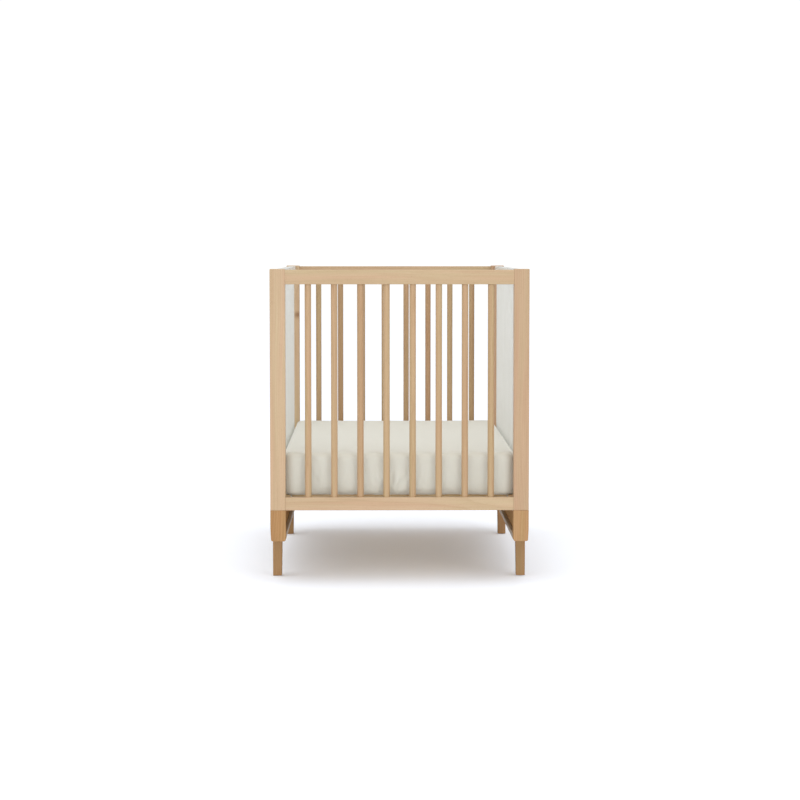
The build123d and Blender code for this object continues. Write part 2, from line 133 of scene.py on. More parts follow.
class StudioSettings(bpy.types.PropertyGroup):
    camera_place: FloatVectorProperty(
        name="Camera", description="Where the camera stands",
        subtype="TRANSLATION", unit="LENGTH", default=(-0.0780, -7.4925, 0.9884))
    camera_pitch: FloatProperty(
        name="Pitch", description="How far the camera looks down",
        subtype="ANGLE", unit="ROTATION", default=math.radians(3.745))
    camera_yaw: FloatProperty(
        name="Yaw", description="How far the camera looks to the right",
        subtype="ANGLE", unit="ROTATION", default=math.radians(0.666))
    lens: FloatProperty(
        name="Lens", description="Focal length of the camera, in millimetres",
        subtype="DISTANCE_CAMERA", default=104.41, min=20, max=300)
    key_power: FloatProperty(
        name="Key light", description="Power of the large soft light",
        unit="POWER", default=40.0, min=0)
    room_light: FloatProperty(
        name="Room light", description="Strength of the even light from all round",
        default=0.85, min=0, max=3)
    room_lean: FloatVectorProperty(
        name="Room lean", description="Which way the room light comes from, and by how much more",
        subtype="XYZ", default=(-0.12, -0.40, 0.35))


# Small helpers for modelling

def pick_nothing():
    """Deselect every object and leave edit mode."""
    if bpy.context.object and bpy.context.object.mode != "OBJECT":
        bpy.ops.object.mode_set(mode="OBJECT")
    bpy.ops.object.select_all(action="DESELECT")


def pick(obj):
    """Make one object the only selected one."""
    pick_nothing()
    obj.select_set(True)
    bpy.context.view_layer.objects.active = obj


def apply_place(obj):
    """Put the object's place, turn and size into its mesh."""
    pick(obj)
    bpy.ops.object.transform_apply(location=True, rotation=True, scale=True)


def apply_modifier(obj, kind, **values):
    """Add a modifier with these values and apply it."""
    pick(obj)
    modifier = obj.modifiers.new(kind.title(), kind)
    for key, value in values.items():
        setattr(modifier, key, value)
    bpy.ops.object.modifier_apply(modifier=modifier.name)


def select_edges(obj, wanted):
    """In edit mode, select only the edges for which wanted(edge) is true."""
    bpy.ops.mesh.select_mode(type="EDGE")
    bpy.ops.mesh.select_all(action="DESELECT")
    mesh = bmesh.from_edit_mesh(obj.data)
    for edge in mesh.edges:
        if wanted(edge):
            edge.select_set(True)
    bmesh.update_edit_mesh(obj.data)


def coordinates(mesh):
    """Places of a mesh's vertices, one row each."""
    places = np.empty(len(mesh.vertices) * 3)
    mesh.vertices.foreach_get("co", places)
    return places.reshape(-1, 3)


def set_coordinates(mesh, places):
    """Move a mesh's vertices to these places."""
    mesh.vertices.foreach_set("co", np.ascontiguousarray(places).ravel())
    mesh.update()


def shaped_coordinates(obj):
    """Places of the object's vertices with its modifiers."""
    shaped = obj.evaluated_get(bpy.context.evaluated_depsgraph_get())
    mesh = shaped.to_mesh()
    places = coordinates(mesh)
    shaped.to_mesh_clear()
    return places


def finish_piece(obj, body, material):
    """Smooth a finished piece, give it its material and slot, and let it ride on its body."""
    pick(obj)
    bpy.ops.object.shade_smooth_by_angle(angle=math.radians(40))
    obj.data.materials.clear()
    obj.data.materials.append(material)
    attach(obj, body)


def settle(frames):
    """Step the simulation from its first frame to its last."""
    scene = bpy.context.scene
    scene.frame_start = 1
    scene.frame_end = frames
    for number in range(1, frames + 1):
        scene.frame_set(number)


def cap(start, end, limit):
    """Move from start towards end, but no point further than its limit."""
    step = end - start
    length = np.linalg.norm(step, axis=1, keepdims=True)
    return start + step * np.minimum(1.0, limit / np.maximum(length, 1e-9))


# Helpers for shader nodes

def add_node(tree, kind, inputs=None, **settings):
    """Add a node, set its properties, and set or link its inputs."""
    node = tree.nodes.new(kind)
    for key, value in settings.items():
        setattr(node, key, value)
    for key, value in (inputs or {}).items():
        if isinstance(value, bpy.types.NodeSocket):
            tree.links.new(value, node.inputs[key])
        else:
            node.inputs[key].default_value = value
    return node


def maths(tree, operation, *values, clamp=False):
    """A Math node's result."""
    inputs = dict(enumerate(values))
    return add_node(tree, "ShaderNodeMath", inputs, operation=operation, use_clamp=clamp).outputs[0]


def vector_maths(tree, operation, *values):
    """A Vector Math node's vector."""
    inputs = dict(enumerate(values))
    return add_node(tree, "ShaderNodeVectorMath", inputs, operation=operation).outputs[0]


def mix_colour(tree, factor, first, second, blend="MIX"):
    node = add_node(tree, "ShaderNodeMix", data_type="RGBA", blend_type=blend)
    for socket, value in (("Factor_Float", factor), ("A_Color", first), ("B_Color", second)):
        target = next(s for s in node.inputs if s.identifier == socket)
        if isinstance(value, bpy.types.NodeSocket):
            tree.links.new(value, target)
        else:
            target.default_value = value
    return next(s for s in node.outputs if s.identifier == "Result_Color")


def noise(tree, vector, scale, detail=2.0, roughness=0.5):
    inputs = {"Vector": vector, "Scale": scale, "Detail": detail, "Roughness": roughness}
    return add_node(tree, "ShaderNodeTexNoise", inputs).outputs["Fac"]


def stretched_noise(tree, vector, stretch, detail=2.0, roughness=0.5):
    """Noise that is drawn out where the stretch is small."""
    return noise(tree, vector_maths(tree, "MULTIPLY", vector, stretch), 1.0, detail, roughness)


def split(tree, vector):
    """A vector's X, Y and Z."""
    return add_node(tree, "ShaderNodeSeparateXYZ", {"Vector": vector}).outputs


def remap(tree, value, low, high, new_low=0.0, new_high=1.0):
    inputs = {"Value": value, "From Min": low, "From Max": high, "To Min": new_low, "To Max": new_high}
    return add_node(tree, "ShaderNodeMapRange", inputs).outputs["Result"]


def new_group(name, inputs, outputs):
    """An empty shader node group: its tree, its input sockets and its output node."""
    tree = bpy.data.node_groups.new(name, "ShaderNodeTree")
    for label, kind, default in inputs:
        socket = tree.interface.new_socket(label, in_out="INPUT", socket_type=kind)
        if default is not None:
            socket.default_value = default
    for label, kind in outputs:
        tree.interface.new_socket(label, in_out="OUTPUT", socket_type=kind)
    entry = tree.nodes.new("NodeGroupInput")
    leave = tree.nodes.new("NodeGroupOutput")
    return tree, entry.outputs, leave.inputs


def finish_group(tree, leave, **results):
    for label, socket in results.items():
        tree.links.new(socket, leave[label.replace("_", " ")])
    return tree


def opaque(colour):
    return (*colour[:3], 1.0)


def tinted(colour, tint):
    return Color([part * share for part, share in zip(colour, tint)])


# Shader node groups

VECTOR, FLOAT, COLOUR = "NodeSocketVector", "NodeSocketFloat", "NodeSocketColor"


def wood_group():
    """Solid wood cut from a log: growth rings round a pith, streaks along the grain, rays and pores.

    Each board or spindle falls in a cell of its own, which gives it its own piece of the log and its own
    tone.
    """
    tree, given, leave = new_group(
        "wood_grain",
        [("Vector", VECTOR, None), ("Turn", VECTOR, (0, 0, 0)), ("Cell", VECTOR, (1, 1, 1)),
         ("Shift", VECTOR, (0, 0, 0)), ("Upright Beyond", FLOAT, 100.0), ("Knot", VECTOR, (0, 0, -5)),
         ("Light", COLOUR, (0.7, 0.5, 0.3, 1)), ("Dark", COLOUR, (0.5, 0.3, 0.2, 1)),
         ("Ring Spacing", FLOAT, 0.004), ("Ring Contrast", FLOAT, 0.3), ("Rays", FLOAT, 0.5),
         ("Tone Spread", FLOAT, 0.3), ("Gloss", FLOAT, 0.4)],
        [("Color", COLOUR), ("Roughness", FLOAT), ("Height", FLOAT)])
    moved = vector_maths(tree, "ADD", given["Vector"], given["Shift"])
    cell = vector_maths(tree, "FLOOR", vector_maths(tree, "DIVIDE", moved, given["Cell"]))
    chance = add_node(tree, "ShaderNodeTexWhiteNoise", {"Vector": cell}, noise_dimensions="3D")
    cut_from = vector_maths(tree, "MULTIPLY", chance.outputs["Color"], (0.35, 0.35, 6.0))
    turned = add_node(
        tree, "ShaderNodeVectorRotate", {"Vector": given["Vector"], "Rotation": given["Turn"]},
        rotation_type="EULER_XYZ").outputs[0]
    # Blocks at the two ends may stand with their grain upright
    from_middle = split(tree, vector_maths(tree, "ABSOLUTE", given["Vector"]))
    upright = maths(tree, "GREATER_THAN", from_middle["Y"], given["Upright Beyond"])
    turned = add_node(
        tree, "ShaderNodeMix", {0: upright, 4: turned, 5: given["Vector"]}, data_type="VECTOR").outputs[1]
    place = vector_maths(tree, "ADD", vector_maths(tree, "ADD", turned, cut_from), (0.05, 0.07, 0.0))
    # The log leans and wanders slowly along its length
    slow = vector_maths(tree, "MULTIPLY", place, (5.0, 5.0, 0.9))
    wander = add_node(tree, "ShaderNodeTexNoise", {"Vector": slow, "Scale": 1.0, "Detail": 2.0})
    centred = vector_maths(tree, "SUBTRACT", wander.outputs["Color"], (0.5, 0.5, 0.5))
    shift = vector_maths(tree, "MULTIPLY", centred, (0.05, 0.05, 0))
    log = vector_maths(tree, "ADD", place, shift)
    parts = split(tree, log)
    across = add_node(tree, "ShaderNodeCombineXYZ", {"X": parts["X"], "Y": parts["Y"]}).outputs[0]
    radius = add_node(tree, "ShaderNodeVectorMath", {0: across}, operation="LENGTH").outputs["Value"]
    uneven = maths(tree, "MULTIPLY", stretched_noise(tree, log, (40, 40, 1.5), 2.0), 1.6)
    turns = maths(tree, "ADD", maths(tree, "DIVIDE", radius, given["Ring Spacing"]), uneven)
    saw = maths(tree, "FRACT", turns)
    ring = maths(tree, "MULTIPLY", maths(tree, "POWER", saw, 3.0), remap(tree, saw, 0.94, 1.0, 1.0, 0.0))
    streak = stretched_noise(tree, log, (260, 260, 5), 4.0, 0.6)
    broad = stretched_noise(tree, log, (26, 26, 1.1), 3.0)
    pores = remap(tree, stretched_noise(tree, log, (2600, 2600, 160), 1.0), 0.60, 0.72)
    rays = remap(tree, stretched_noise(tree, log, (1100, 1100, 240), 1.0), 0.66, 0.74)
    ray_mask = maths(tree, "MULTIPLY", rays, given["Rays"])
    dark = maths(tree, "MULTIPLY", ring, given["Ring Contrast"])
    dark = maths(tree, "ADD", dark, maths(tree, "MULTIPLY", remap(tree, streak, 0.3, 0.75), 0.42))
    dark = maths(tree, "ADD", dark, maths(tree, "MULTIPLY", remap(tree, broad, 0.3, 0.7), 0.34))
    tone = maths(tree, "SUBTRACT", chance.outputs["Value"], 0.5)
    tone = maths(tree, "MULTIPLY", tone, given["Tone Spread"])
    dark = maths(tree, "ADD", dark, tone, clamp=True)
    wood = mix_colour(tree, dark, given["Light"], given["Dark"])
    # Some boards are rosier and some more golden
    hues = add_node(tree, "ShaderNodeSeparateColor", {"Color": chance.outputs["Color"]}).outputs
    rosy = mix_colour(tree, 1.0, wood, (1.05, 0.955, 0.94, 1), "MULTIPLY")
    golden = mix_colour(tree, 1.0, wood, (0.98, 1.015, 0.93, 1), "MULTIPLY")
    veins = remap(tree, stretched_noise(tree, log, (60, 60, 2.2), 2.0), 0.3, 0.7, -0.15, 0.65)
    hue = maths(tree, "ADD", maths(tree, "MULTIPLY", hues["Blue"], 0.5), veins, clamp=True)
    wood = mix_colour(tree, hue, golden, rosy)
    apart = add_node(
        tree, "ShaderNodeVectorMath", {0: given["Vector"], 1: given["Knot"]}, operation="DISTANCE")
    knot = maths(tree, "POWER", remap(tree, apart.outputs["Value"], 0.022, 0.004), 2.0)
    wood = mix_colour(tree, maths(tree, "MULTIPLY", knot, 0.75), wood, given["Dark"], "MULTIPLY")
    wood = mix_colour(tree, maths(tree, "MULTIPLY", ray_mask, 0.45), wood, given["Dark"], "MULTIPLY")
    wood = mix_colour(tree, maths(tree, "MULTIPLY", pores, 0.16), wood, given["Dark"], "MULTIPLY")
    height = maths(tree, "MULTIPLY", streak, 0.55)
    height = maths(tree, "SUBTRACT", height, maths(tree, "MULTIPLY", pores, 0.5))
    height = maths(tree, "ADD", height, maths(tree, "MULTIPLY", ring, 0.25))
    unevenness = maths(tree, "MULTIPLY", maths(tree, "SUBTRACT", streak, 0.5), 0.16)
    rough = maths(tree, "ADD", given["Gloss"], unevenness)
    rough = maths(tree, "ADD", rough, maths(tree, "MULTIPLY", pores, 0.12))
    return finish_group(tree, leave, Color=wood, Roughness=rough, Height=height)


def paint_group():
    """Sprayed lacquer: a faint orange peel, the wood's grain just showing through, and slow mottling."""
    tree, given, leave = new_group(
        "sprayed_lacquer",
        [("Vector", VECTOR, None), ("Stretch", VECTOR, (200, 200, 6)), ("Paint", COLOUR, (0.8, 0.8, 0.75, 1)),
         ("Gloss", FLOAT, 0.3)],
        [("Color", COLOUR), ("Roughness", FLOAT), ("Height", FLOAT)])
    peel = noise(tree, given["Vector"], 520.0, 2.0)
    grain = stretched_noise(tree, given["Vector"], given["Stretch"], 3.0)
    mottle = noise(tree, given["Vector"], 9.0, 3.0)
    shaded = mix_colour(tree, 1.0, given["Paint"], (0.965, 0.962, 0.955, 1), "MULTIPLY")
    colour = mix_colour(tree, remap(tree, mottle, 0.35, 0.65), given["Paint"], shaded)
    colour = mix_colour(tree, maths(tree, "MULTIPLY", remap(tree, grain, 0.5, 0.8), 0.35), colour, shaded)
    height = maths(tree, "ADD", maths(tree, "MULTIPLY", peel, 0.5), maths(tree, "MULTIPLY", grain, 0.5))
    rough = maths(tree, "ADD", given["Gloss"], maths(tree, "MULTIPLY", mottle, 0.12))
    return finish_group(tree, leave, Color=colour, Roughness=rough, Height=height)


def weave_group():
    """Plain weave on whichever plane the surface faces: threads over and under, slubs and uneven yarn, and
    painted shade between the threads.
    """
    tree, given, leave = new_group(
        "plain_weave",
        [("Vector", VECTOR, None), ("Facing", VECTOR, None), ("Cloth", COLOUR, (0.8, 0.8, 0.7, 1)),
         ("Pitch", FLOAT, 0.0005), ("Seam Corner", VECTOR, (10, 10, 0))],
        [("Color", COLOUR), ("Roughness", FLOAT), ("Height", FLOAT)])
    place = split(tree, given["Vector"])
    facing = split(tree, vector_maths(tree, "ABSOLUTE", given["Facing"]))
    upward = maths(tree, "GREATER_THAN", facing["Z"], 0.6)
    sideways = maths(tree, "GREATER_THAN", facing["X"], facing["Y"])
    # u runs along Y on the long sides and along X elsewhere; v runs up the sides and along Y on top
    on_side = maths(tree, "MULTIPLY", sideways, maths(tree, "SUBTRACT", 1.0, upward))
    u = add_node(tree, "ShaderNodeMix", {0: on_side, 2: place["X"], 3: place["Y"]}).outputs[0]
    v = add_node(tree, "ShaderNodeMix", {0: upward, 2: place["Z"], 3: place["Y"]}).outputs[0]
    us = maths(tree, "DIVIDE", u, given["Pitch"])
    vs = maths(tree, "DIVIDE", v, given["Pitch"])
    square = maths(tree, "ADD", maths(tree, "FLOOR", us), maths(tree, "FLOOR", vs))
    odd = maths(tree, "FLOORED_MODULO", square, 2.0)
    warp = maths(tree, "ABSOLUTE", maths(tree, "SINE", maths(tree, "MULTIPLY", us, math.pi)))
    weft = maths(tree, "ABSOLUTE", maths(tree, "SINE", maths(tree, "MULTIPLY", vs, math.pi)))
    threads = add_node(tree, "ShaderNodeMix", {0: odd, 2: warp, 3: weft}).outputs[0]
    flat = add_node(tree, "ShaderNodeCombineXYZ", {"X": u, "Y": v}).outputs[0]
    across, along = 900.0, 26.0
    slubs = maths(tree, "ADD", stretched_noise(tree, flat, (across, along, 0), 2.0),
                  stretched_noise(tree, flat, (along, across, 0), 2.0))
    soft = noise(tree, given["Vector"], 14.0, 3.0)
    shaded = mix_colour(tree, 1.0, given["Cloth"], (0.93, 0.925, 0.91, 1), "MULTIPLY")
    slubbed = maths(tree, "MULTIPLY", remap(tree, slubs, 0.8, 1.3), 0.5)
    worn = maths(tree, "ADD", slubbed, maths(tree, "MULTIPLY", soft, 0.4))
    colour = mix_colour(tree, worn, given["Cloth"], shaded)
    # Painted shade: the cloth is darkened between the threads, where the threads shade each other
    between = maths(tree, "MULTIPLY", maths(tree, "SUBTRACT", 1.0, threads), 0.25)
    colour = mix_colour(tree, between, colour, shaded)
    # A sewn seam runs up each round corner, with a row of stitches beside it; both dip in height and are
    # darkened in colour as painted shade
    outward = vector_maths(tree, "ABSOLUTE", given["Vector"])
    past = split(tree, vector_maths(tree, "SUBTRACT", outward, given["Seam Corner"]))
    aside = maths(tree, "SUBTRACT", past["X"], past["Y"])
    cornered = maths(tree, "GREATER_THAN", maths(tree, "MINIMUM", past["X"], past["Y"]), 0.0)
    fold = remap(tree, maths(tree, "ABSOLUTE", aside), 0.0004, 0.0022, 1.0, 0.0)
    from_row = maths(tree, "ABSOLUTE", maths(tree, "SUBTRACT", aside, 0.0045))
    row = remap(tree, from_row, 0.0002, 0.0007, 1.0, 0.0)
    stitch = maths(tree, "FRACT", maths(tree, "DIVIDE", place["Z"], 0.0032))
    dashes = maths(tree, "GREATER_THAN", stitch, 0.35)
    sewn = maths(tree, "MAXIMUM", fold, maths(tree, "MULTIPLY", maths(tree, "MULTIPLY", row, dashes), 0.6))
    sewn = maths(tree, "MULTIPLY", sewn, cornered)
    # Painted shade: the seam's fold and its stitches are darkened in colour, for the shade that the bump
    # alone is too faint to give
    colour = mix_colour(tree, maths(tree, "MULTIPLY", sewn, 0.7), colour, (0.55, 0.52, 0.45, 1), "MULTIPLY")
    height = maths(tree, "ADD", maths(tree, "MULTIPLY", threads, 0.7), maths(tree, "MULTIPLY", slubs, 0.3))
    height = maths(tree, "SUBTRACT", height, maths(tree, "MULTIPLY", sewn, 4.0))
    rough = maths(tree, "ADD", 0.82, maths(tree, "MULTIPLY", threads, 0.08))
    return finish_group(tree, leave, Color=colour, Roughness=rough, Height=height)


def metal_group():
    """Plated or turned metal: fine turning marks, and patches of slightly different polish."""
    tree, given, leave = new_group(
        "plated_metal",
        [("Vector", VECTOR, None), ("Metal", COLOUR, (0.6, 0.6, 0.6, 1)), ("Gloss", FLOAT, 0.35)],
        [("Color", COLOUR), ("Roughness", FLOAT), ("Height", FLOAT)])
    marks = stretched_noise(tree, given["Vector"], (300, 2200, 2200), 3.0)
    patches = noise(tree, given["Vector"], 120.0, 3.0)
    dull = mix_colour(tree, 1.0, given["Metal"], (0.8, 0.79, 0.76, 1), "MULTIPLY")
    colour = mix_colour(tree, remap(tree, patches, 0.35, 0.7), given["Metal"], dull)
    rough = maths(tree, "ADD", given["Gloss"], maths(tree, "MULTIPLY", patches, 0.2))
    return finish_group(tree, leave, Color=colour, Roughness=rough, Height=marks)


GROUPS = {}


def group(name):
    """The named shader node group, built the first time it is asked for."""
    makers = {"wood": wood_group, "paint": paint_group, "weave": weave_group, "metal": metal_group}
    if name not in GROUPS:
        GROUPS[name] = makers[name]()
    return GROUPS[name]


def surface(name, effect, inputs, bump=0.1, bump_distance=0.0003, shader=None, facing=False):
    """A material whose colour, roughness and bump come from one of the groups."""
    material = bpy.data.materials.new(name)
    material.use_nodes = True
    tree = material.node_tree
    tree.nodes.clear()
    where = add_node(tree, "ShaderNodeTexCoord")
    made = add_node(tree, "ShaderNodeGroup", node_tree=group(effect))
    tree.links.new(where.outputs["Object"], made.inputs["Vector"])
    if facing:
        tree.links.new(where.outputs["Normal"], made.inputs["Facing"])
    for key, value in inputs.items():
        made.inputs[key].default_value = value
    relief = add_node(
        tree, "ShaderNodeBump",
        {"Strength": bump, "Distance": bump_distance, "Height": made.outputs["Height"]})
    main = add_node(
        tree, "ShaderNodeBsdfPrincipled",
        {"Base Color": made.outputs["Color"], "Roughness": made.outputs["Roughness"],
         "Normal": relief.outputs["Normal"], **(shader or {})})
    end = add_node(tree, "ShaderNodeOutputMaterial")
    tree.links.new(main.outputs["BSDF"], end.inputs["Surface"])
    return material


# Materials

ALONG_X = (0, -math.pi / 2, 0)
ALONG_Y = (math.pi / 2, 0, 0)
ALONG_Z = (0, 0, 0)
GRAIN_SHIFTS = {ALONG_X: (5, 0, 0), ALONG_Y: (0, 5, 0), ALONG_Z: (0, 0, 5)}
SPINDLE_CELL = (0.0769, 1.384, 10)
POST_CELL = (1, 1, 10)
END_RAIL_CELL = (10, 1.384, 0.6)
BEAM_CELL = (1, 10, 10)
SLAT_CELL = (10, 0.10173, 10)
BEAM_BLOCK_START = 0.647
SATIN = 0.4
KNOT_PLACE = (-0.343, 0.647, 0.755)


def wood_material(name, turn, cell, light, dark, contrast=0.30, rays=0.6, spread=0.35, gloss=0.42,
                  specular=SATIN, **more):
    """Wood with its grain along one axis, and no two cells along that axis."""
    settings = bpy.context.scene.crib_wood
    values = {
        "Turn": turn, "Cell": cell, "Shift": GRAIN_SHIFTS[turn], "Light": opaque(light), "Dark": opaque(dark),
        "Ring Spacing": settings.ring_spacing, "Ring Contrast": contrast, "Rays": rays,
        "Tone Spread": spread, "Gloss": gloss, **more,
    }
    lacquered = {"Coat Weight": 0.3 * specular, "Coat Roughness": 0.3, "Specular IOR Level": specular,
                 "IOR": 1.5 if specular else 1.0}
    return surface(name, "wood", values, bump=0.25, bump_distance=0.0003, shader=lacquered)


def dress(names, material):
    """Give CAD nodes a material in all their slots."""
    for name in names:
        node = NODES[name]
        if not node.data.materials:
            node.data.materials.append(material)
        for index in range(len(node.data.materials)):
            node.data.materials[index] = material


class CRIB_OT_beech_joinery(bpy.types.Operator):
    """Finish the posts, end rails, end spindles and legs in lacquered beech, and the base beams in
    unlacquered beech
    """
    bl_idname = "crib.beech_joinery"
    bl_label = "Beech joinery"

    def execute(self, context):
        wood = context.scene.crib_wood
        light, dark = wood.beech_light, wood.beech_dark
        rails = wood_material("beech_end_rails", ALONG_X, END_RAIL_CELL, light, dark, spread=0.15)
        spindles = wood_material(
            "beech_spindles", ALONG_Z, SPINDLE_CELL, wood.spindle_light, wood.spindle_dark, spread=0.8)
        for side, tint in (("left", Color((1, 1, 1))), ("right", Color(wood.golden_tint))):
            beams = wood_material(
                f"beech_{side}_beam", ALONG_Y, BEAM_CELL, tinted(wood.base_light, tint),
                tinted(wood.base_dark, tint), contrast=0.45, spread=0.3, specular=0,
                **{"Upright Beyond": BEAM_BLOCK_START})
            dress([f"{side}_base_beam"], beams)
        # The legs' beech is darkened as painted shade for the shade under the crib and the leg blocks
        shade = wood.leg_painted_shade
        legs = wood_material("beech_legs", ALONG_Z, POST_CELL, tinted(wood.base_light, shade),
                             tinted(wood.base_dark, shade), spread=0.3, specular=SATIN / 4)
        for side, tint in (("left", Color((1, 1, 1))), ("right", Color(wood.rosy_tint))):
            posts = wood_material(
                f"beech_{side}_posts", ALONG_Z, POST_CELL, tinted(light, tint), tinted(dark, tint),
                spread=0.2, Knot=KNOT_PLACE)
            dress([f"{end}_{side}_post" for end in ENDS], posts)
        dress([f"{end}_end_{level}_rail" for end in ENDS for level in LEVELS] + ["end_rail_dowels"], rails)
        dress([f"{end}_end_spindle_{n}" for end in ENDS for n in range(1, 9)], spindles)
        dress([f"{end}_{side}_leg" for end in ENDS for side in SIDES], legs)
        return {"FINISHED"}


class CRIB_OT_white_sides(bpy.types.Operator):
    """Finish the long sides in white lacquer, and the beams' white cleats in a darker greige that is painted
    shade
    """
    bl_idname = "crib.white_sides"
    bl_label = "White sides"

    def execute(self, context):
        wood = context.scene.crib_wood
        paint = opaque(wood.lacquer)
        coat = {"Coat Weight": 0.25, "Coat Roughness": 0.2, "Specular IOR Level": 0.45}
        grain_along, grain_up = (200, 6, 200), (200, 200, 6)
        along = surface(
            "white_lacquer_rails", "paint", {"Stretch": grain_along, "Paint": paint, "Gloss": 0.3},
            bump=0.12, shader=coat)
        upright = surface(
            "white_lacquer_spindles", "paint", {"Stretch": grain_up, "Paint": paint, "Gloss": 0.3},
            bump=0.12, shader=coat)
        # The cleats are white lacquer; their darker greige colour is painted shade for the shade under the
        # crib
        painted_shade = surface(
            "primed_cleats", "paint",
            {"Stretch": grain_along, "Paint": opaque(wood.cleat_painted_shade), "Gloss": 0.6}, bump=0.12)
        dress([f"{side}_side_{level}_rail" for side in SIDES for level in LEVELS], along)
        dress([f"{side}_{place}_cleat" for side in SIDES for place in ("upper", "lower")], painted_shade)
        dress([f"{side}_side_spindles" for side in SIDES], upright)
        return {"FINISHED"}


class CRIB_OT_fittings(bpy.types.Operator):
    """Finish the bolts, pins, hanger plates, inserts and glides"""
    bl_idname = "crib.fittings"
    bl_label = "Fittings"

    def execute(self, context):
        zinc = surface("zinc_plate", "metal", {"Metal": (0.62, 0.62, 0.60, 1), "Gloss": 0.28},
                       shader={"Metallic": 1.0})
        brass = surface("turned_brass", "metal", {"Metal": (0.76, 0.58, 0.30, 1), "Gloss": 0.25},
                        shader={"Metallic": 1.0})
        coated = surface(
            "powder_coat", "paint",
            {"Stretch": (400, 400, 400), "Paint": (0.78, 0.78, 0.76, 1), "Gloss": 0.45}, bump=0.3)
        plastic = surface(
            "glide_plastic", "paint",
            {"Stretch": (900, 900, 900), "Paint": (0.55, 0.52, 0.47, 1), "Gloss": 0.5}, bump=0.2)
        dress(["side_bolts", "post_bolts", "post_barrel_nuts"], zinc)
        dress(["support_pins", "slat_screws", "hanger_plate_screws"], zinc)
        dress(["side_bolt_inserts", "support_pin_inserts"], brass)
        dress(["platform_hanger_plates"], coated)
        dress(["foot_glides"], plastic)
        return {"FINISHED"}


class CRIB_OT_platform(bpy.types.Operator):
    """Finish the mattress platform in planed pine"""
    bl_idname = "crib.platform"
    bl_label = "Platform"

    def execute(self, context):
        wood = context.scene.crib_wood
        light, dark = wood.pine_light, wood.pine_dark
        slats = wood_material("pine_slats", ALONG_X, SLAT_CELL, light, dark, 0.75, 0.0, 0.4, 0.6)
        ends = wood_material("pine_end_bars", ALONG_X, END_RAIL_CELL, light, dark, 0.75, 0.0, 0.3, 0.6)
        sides = wood_material("pine_side_bars", ALONG_Y, BEAM_CELL, light, dark, 0.75, 0.0, 0.3, 0.6)
        dress(["platform_slats"], slats)
        dress(["platform_front_bar", "platform_rear_bar"], ends)
        dress(["platform_left_bar", "platform_right_bar"], sides)
        return {"FINISHED"}


# Mattress and sheet

CORNER_RADIUS = 0.038
TOP_RADIUS = 0.017
BOTTOM_RADIUS = 0.009
HEM_WIDTH = 0.070
ELASTIC_BAND = 0.020  # how far the elastic's pull reaches out from the sheet's open edge
ELASTIC_RADIUS = 0.0016
SKIRT_SLACK = -0.10  # the skirt is this much too long, as a share
HEM_GATHER = 0.14
SKIRT_TRAVEL = 0.012  # how far the simulation may move the skirt, and the top
TOP_TRAVEL = 0.002
SHEET_GAP = 0.0012


def round_over(places, low, high):
    """Round a block's places: its upright corners first, then its top and bottom edges."""
    low, high = np.array(low), np.array(high)
    middle, half = (low + high) / 2, (high - low) / 2
    offset = places[:, :2] - middle[:2]
    side = np.where(offset < 0, -1.0, 1.0)
    inset = half[:2] - np.abs(offset)
    depth = inset.min(axis=1)
    outward = np.where(inset == depth[:, None], side, 0.0)
    # Upright corners: squares become quarter discs
    over = CORNER_RADIUS - inset
    cornered = (over > 0).all(axis=1)
    radius = np.linalg.norm(over[cornered], axis=1, keepdims=True)
    round_place = over[cornered] * over[cornered].max(axis=1, keepdims=True) / radius
    flat = np.abs(offset)
    flat[cornered] = half[:2] - CORNER_RADIUS + round_place
    outward[cornered] = side[cornered] * over[cornered] / radius
    result = places.copy()
    result[:, :2] = middle[:2] + side * flat
    # Top and bottom edges, in the same way
    for limit, way, bend in ((high[2], 1, TOP_RADIUS), (low[2], -1, BOTTOM_RADIUS)):
        across = bend - depth
        up = bend - way * (limit - places[:, 2])
        edge = (across > 0) & (up > 0)
        share = np.maximum(across, up)[edge] / np.hypot(across, up)[edge]
        result[edge, :2] -= outward[edge] * (across[edge] * (1 - share))[:, None]
        result[edge, 2] = limit - way * bend + way * up[edge] * share
    return result


def soft_block(name, low, high, step):
    """A closed block of even quads, with round corners and softened edges."""
    pick_nothing()
    bpy.ops.mesh.primitive_cube_add(size=1, location=(low + high) / 2)
    block = bpy.context.object
    block.name = name
    block.scale = high - low
    apply_place(block)
    bpy.ops.object.mode_set(mode="EDIT")
    for axis in range(3):
        select_edges(block, lambda e: abs(e.verts[0].co[axis] - e.verts[1].co[axis]) > step)
        bpy.ops.mesh.subdivide(number_cuts=max(2, round((high - low)[axis] / step) - 1))
    bpy.ops.object.mode_set(mode="OBJECT")
    set_coordinates(block.data, round_over(coordinates(block.data), low, high))
    return block


def inflate(pad, pressure, frames, limit):
    """Let the cover swell over its filling, and keep each point within the limit of where it began."""
    start = coordinates(pad.data)
    pick(pad)
    modifier = pad.modifiers.new("Swell", "CLOTH")
    cloth = modifier.settings
    cloth.quality = 5
    cloth.use_pressure = True
    cloth.uniform_pressure_force = pressure
    cloth.effector_weights.gravity = 0
    cloth.tension_stiffness = 15
    cloth.compression_stiffness = 15
    cloth.shear_stiffness = 5
    cloth.bending_stiffness = 0.5
    modifier.collision_settings.use_collision = False
    settle(frames)
    end = shaped_coordinates(pad)
    pad.modifiers.remove(modifier)
    set_coordinates(pad.data, cap(start, end, limit))


def keep_inside(places, low, high):
    """Keep points inside a box."""
    return np.clip(places, np.array(low), np.array(high))


